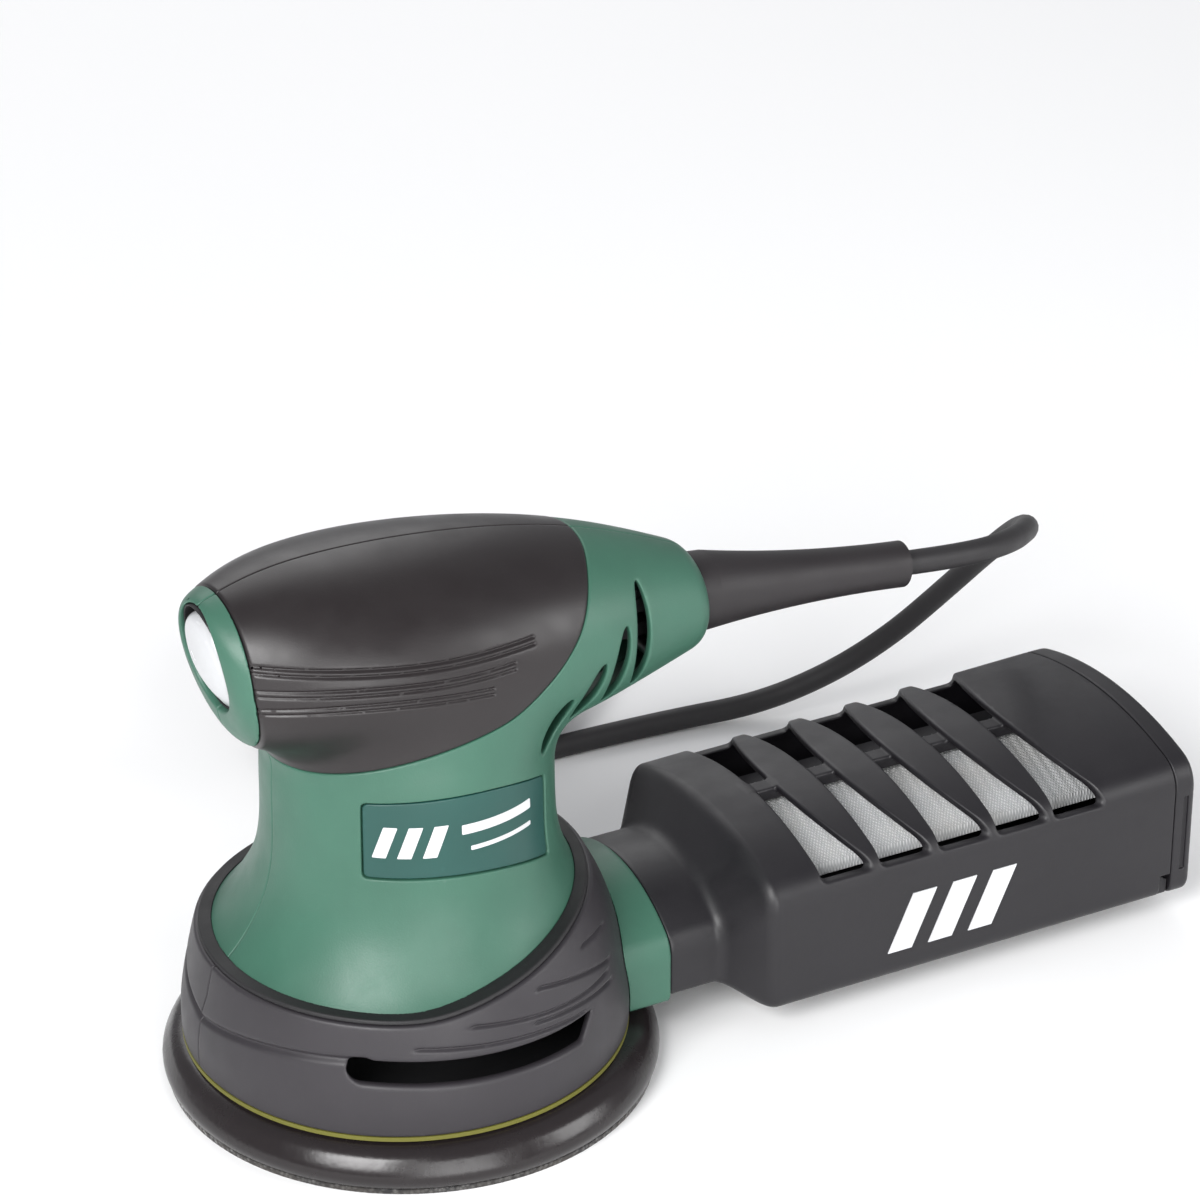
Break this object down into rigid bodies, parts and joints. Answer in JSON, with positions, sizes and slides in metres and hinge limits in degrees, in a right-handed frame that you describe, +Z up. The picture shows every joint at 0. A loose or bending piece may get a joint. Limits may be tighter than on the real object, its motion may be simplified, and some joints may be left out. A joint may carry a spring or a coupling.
{
  "type": "palm-grip random-orbit sander",
  "caption": "Hand-held electric random-orbit sander with a round pad, soft palm grip, vented dust box on a rear outlet, and a coiled mains lead.",
  "frame": {"origin": "the motor axis at the sanding face", "axes": "+Z up along the motor axis, +X towards the dust box, -X towards the switch, -Y is the left side of the tool"},
  "size_m": [0.2726, 0.2671, 0.147],
  "materials": {
    "green_plastic": "satin",
    "grip_rubber": "satin",
    "skirt_plastic": "satin",
    "black_rubber": "matte",
    "brake_rubber": "matte",
    "black_plastic": "matte",
    "label_plastic": "satin",
    "screw_steel": "satin",
    "switch_white": "gloss",
    "brass_contact": "satin",
    "capacitor_case": "satin",
    "bearing_steel": "polished",
    "core_steel": "satin",
    "copper_wire": "gloss",
    "carbon": "matte",
    "cast_weight": "cast",
    "fan_plastic": "satin",
    "copper_bars": "polished",
    "pad_foam": "gloss",
    "hook_fabric": "matte",
    "pad_plate_plastic": "satin",
    "box_plastic": "satin",
    "stripe_white": "satin",
    "filter_frame_plastic": "matte",
    "filter_paper": "matte",
    "sleeve_rubber": "satin",
    "cable_rubber": "satin",
    "pin_metal": "polished"
  },
  "bodies": {
    "housing": {"housing_left": "green_plastic", "housing_right": "green_plastic", "outlet_collar": "green_plastic", "grip_left": "grip_rubber", "grip_right": "grip_rubber", "skirt_left": "skirt_plastic", "skirt_right": "skirt_plastic", "rim_seal": "black_rubber", "brake_ring": "brake_rubber", "chamber_floor": "black_plastic", "label_plate": "label_plastic", "housing_screws": "screw_steel", "switch_seal": "black_rubber", "switch_body": "black_plastic", "switch_tabs": "brass_contact", "capacitor": "capacitor_case", "motor_baffle": "black_plastic", "lower_bearing": "bearing_steel", "upper_bearing": "bearing_steel", "bearing_cup": "black_rubber", "stator_core": "core_steel", "field_coils": "copper_wire", "brush_holders": "brass_contact", "carbon_brushes": "carbon", "brush_springs": "bearing_steel", "bend_sleeve": "sleeve_rubber", "cable_end": "cable_rubber", "cable_clamp": "black_plastic", "clamp_screws": "screw_steel", "mains_lead": "cable_rubber", "lead_coil": "cable_rubber", "lead_tail": "cable_rubber", "plug_body": "sleeve_rubber", "plug_pins": "pin_metal"},
    "rotor": {"motor_shaft": "bearing_steel", "eccentric_weight": "cast_weight", "pin_screw": "screw_steel", "fan": "fan_plastic", "armature_core": "core_steel", "armature_windings": "copper_wire", "commutator": "copper_bars"},
    "pad": {"pad_cushion": "pad_foam", "hook_face": "hook_fabric", "pad_plate": "pad_plate_plastic", "pad_hub": "cast_weight", "pad_bearing": "bearing_steel", "pad_screws": "screw_steel"},
    "rocker": {"switch_rocker": "switch_white"},
    "dust_box": {"dust_box": "box_plastic", "side_stripes": "stripe_white"},
    "filter_cartridge": {"box_cover": "box_plastic", "filter_frame": "filter_frame_plastic", "filter_paper": "filter_paper"}
  },
  "joints": [
    {"name": "motor_spin", "type": "hinge", "parent": "housing", "child": "rotor", "pos_m": [0, 0, 0.07], "axis": [0, 0, 1], "continuous": true},
    {"name": "pad_spin", "type": "hinge", "parent": "rotor", "child": "pad", "pos_m": [0.00135, 0, 0.016], "axis": [0, 0, 1], "continuous": true},
    {"name": "switch_rock", "type": "hinge", "parent": "housing", "child": "rocker", "pos_m": [-0.04099, 0, 0.12683], "axis": [0, 1, 0], "range_deg": [0, 8]},
    {"name": "dust_box_pull", "type": "slide", "parent": "housing", "child": "dust_box", "axis": [1, 0, 0], "range_m": [0, 0.03]},
    {"name": "filter_pull", "type": "slide", "parent": "dust_box", "child": "filter_cartridge", "axis": [1, 0, 0], "range_m": [0, 0.115]}
  ]
}
